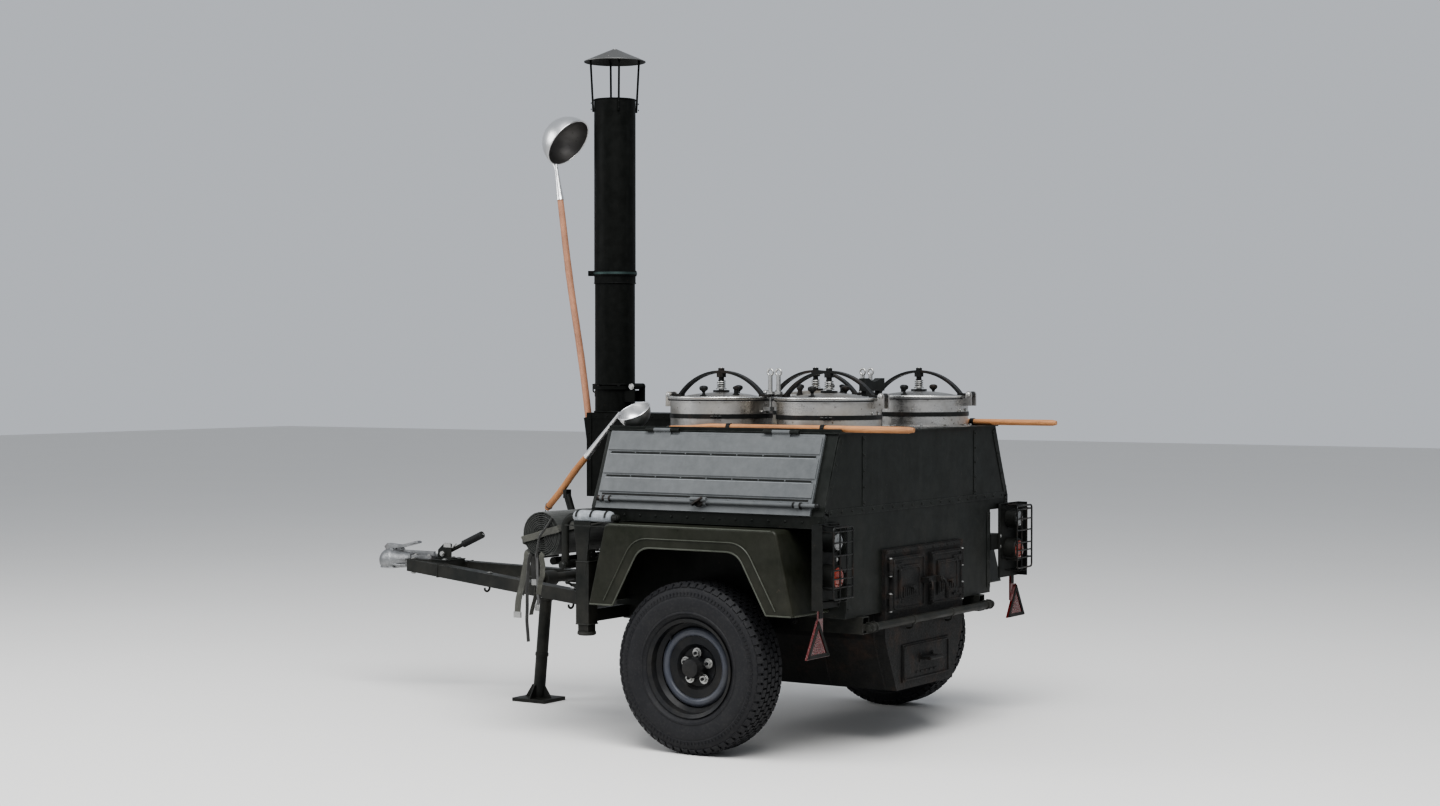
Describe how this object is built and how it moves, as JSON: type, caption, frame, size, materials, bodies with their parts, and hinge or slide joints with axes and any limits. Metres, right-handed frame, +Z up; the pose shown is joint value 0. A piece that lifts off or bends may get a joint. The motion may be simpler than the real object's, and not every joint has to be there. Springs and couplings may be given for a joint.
{
  "type": "military field kitchen trailer",
  "caption": "Towed field kitchen with round boilers under clamped lids, wood firebox, folding chimney, side hatches, mudguards and a drawbar with prop stand.",
  "frame": {"origin": "on the ground below the middle of the trailer's length and width", "axes": "+X forward to the coupling, +Y left, +Z up"},
  "size_m": [2.815, 1.68, 2.58],
  "materials": {
    "body_paint": "worn satin dark olive",
    "hatch_paint": "satin grey olive",
    "guard_paint": "satin olive",
    "chassis_paint": "worn near-black green",
    "stack_paint": "heat-resistant matt",
    "stainless": "brushed, stained",
    "plain_steel": "worn",
    "iron": "sooty",
    "coupling_cast": "cast, weathered",
    "tyre": "dusty",
    "rim_paint": "satin",
    "ash_wood": "oiled, handled",
    "canvas": "waxed cotton",
    "lens": "moulded lens"
  },
  "bodies": {
    "chassis": {"body_shell": "body_paint", "canvas_roll": "canvas", "chassis_frame": "chassis_paint", "chimney_rest": "chassis_paint", "coupling_head": "coupling_cast", "deck_plate": "body_paint", "drawbar": "chassis_paint", "fire_grate": "iron", "firebox": "iron", "front_rack": "chassis_paint", "half_axle_left": "chassis_paint", "half_axle_right": "chassis_paint", "handbrake_lever": "chassis_paint", "heat_casing": "chassis_paint", "lamp_boards": "chassis_paint", "left_paddle": "ash_wood", "leg_sleeves": "chassis_paint", "mudguard_left": "guard_paint", "mudguard_right": "guard_paint", "pot_front_left": "stainless", "pot_front_right": "stainless", "pot_rear_left": "stainless", "pot_rear_right": "stainless", "rear_rail": "chassis_paint", "rear_reflectors": "lens", "right_paddle": "ash_wood", "short_ladle_grip": "ash_wood", "short_ladle_head": "stainless", "smoke_box": "stack_paint", "swing_bolts": "plain_steel", "tail_lamps": "lens", "tall_ladle_grip": "ash_wood", "tall_ladle_head": "stainless"},
    "wheel_left": {"tyre_left": "tyre", "rim_left": "rim_paint", "brake_drum_left": "iron"},
    "wheel_right": {"tyre_right": "tyre", "rim_right": "rim_paint", "brake_drum_right": "iron"},
    "chimney": {"chimney_lower": "stack_paint", "chimney_upper": "stack_paint", "rain_cap": "stack_paint"},
    "prop_stand": {"prop_stand": "chassis_paint"},
    "ash_drawer": {"ash_drawer": "iron"},
    "hatch_left": {"hatch_left": "hatch_paint"},
    "fire_door_left": {"fire_door_left": "iron"},
    "corner_leg_left": {"corner_leg_left": "chassis_paint"},
    "lid_front_left": {"lid_front_left": "stainless", "bow_front_left": "plain_steel"},
    "lid_rear_left": {"lid_rear_left": "stainless", "bow_rear_left": "plain_steel"},
    "hatch_right": {"hatch_right": "hatch_paint"},
    "fire_door_right": {"fire_door_right": "iron"},
    "corner_leg_right": {"corner_leg_right": "chassis_paint"},
    "lid_front_right": {"lid_front_right": "stainless", "bow_front_right": "plain_steel"},
    "lid_rear_right": {"lid_rear_right": "stainless", "bow_rear_right": "plain_steel"}
  },
  "joints": [
    {"name": "wheel_left_spin", "type": "hinge", "parent": "chassis", "child": "wheel_left", "pos_m": [-0.6375, 0.7, 0.3], "axis": [0, 1, 0], "continuous": true},
    {"name": "hatch_left_hinge", "type": "hinge", "parent": "chassis", "child": "hatch_left", "pos_m": [-0.6375, 0.62452, 1.11657], "axis": [1, 0, 0], "range_deg": [0, 85]},
    {"name": "fire_door_left_hinge", "type": "hinge", "parent": "chassis", "child": "fire_door_left", "pos_m": [-1.1599, 0.278, 0.575], "axis": [0, 0, -1], "range_deg": [0, 110]},
    {"name": "corner_leg_left_slide", "type": "slide", "parent": "chassis", "child": "corner_leg_left", "axis": [0, 0, -1], "range_m": [0, 0.36]},
    {"name": "lid_front_left_hinge", "type": "hinge", "parent": "chassis", "child": "lid_front_left", "pos_m": [-0.2805, 0.34, 1.236], "axis": [0, 1, 0], "range_deg": [0, 105]},
    {"name": "lid_rear_left_hinge", "type": "hinge", "parent": "chassis", "child": "lid_rear_left", "pos_m": [-1.1645, 0.34, 1.236], "axis": [0, -1, 0], "range_deg": [0, 105]},
    {"name": "wheel_right_spin", "type": "hinge", "parent": "chassis", "child": "wheel_right", "pos_m": [-0.6375, -0.7, 0.3], "axis": [0, 1, 0], "continuous": true},
    {"name": "hatch_right_hinge", "type": "hinge", "parent": "chassis", "child": "hatch_right", "pos_m": [-0.6375, -0.62452, 1.11657], "axis": [-1, 0, 0], "range_deg": [0, 85]},
    {"name": "fire_door_right_hinge", "type": "hinge", "parent": "chassis", "child": "fire_door_right", "pos_m": [-1.1599, -0.278, 0.575], "axis": [0, 0, 1], "range_deg": [0, 110]},
    {"name": "corner_leg_right_slide", "type": "slide", "parent": "chassis", "child": "corner_leg_right", "axis": [0, 0, -1], "range_m": [0, 0.36]},
    {"name": "lid_front_right_hinge", "type": "hinge", "parent": "chassis", "child": "lid_front_right", "pos_m": [-0.2805, -0.34, 1.236], "axis": [0, 1, 0], "range_deg": [0, 105]},
    {"name": "lid_rear_right_hinge", "type": "hinge", "parent": "chassis", "child": "lid_rear_right", "pos_m": [-1.1645, -0.34, 1.236], "axis": [0, -1, 0], "range_deg": [0, 105]},
    {"name": "chimney_fold", "type": "hinge", "parent": "chassis", "child": "chimney", "pos_m": [0.1075, 0, 1.262], "axis": [0, -1, 0], "range_deg": [0, 90]},
    {"name": "ash_drawer_slide", "type": "slide", "parent": "chassis", "child": "ash_drawer", "axis": [-1, 0, 0], "range_m": [0, 0.45]},
    {"name": "prop_stand_fold", "type": "hinge", "parent": "chassis", "child": "prop_stand", "pos_m": [0.5425, 0, 0.492], "axis": [0, 1, 0], "range_deg": [0, 95]}
  ]
}
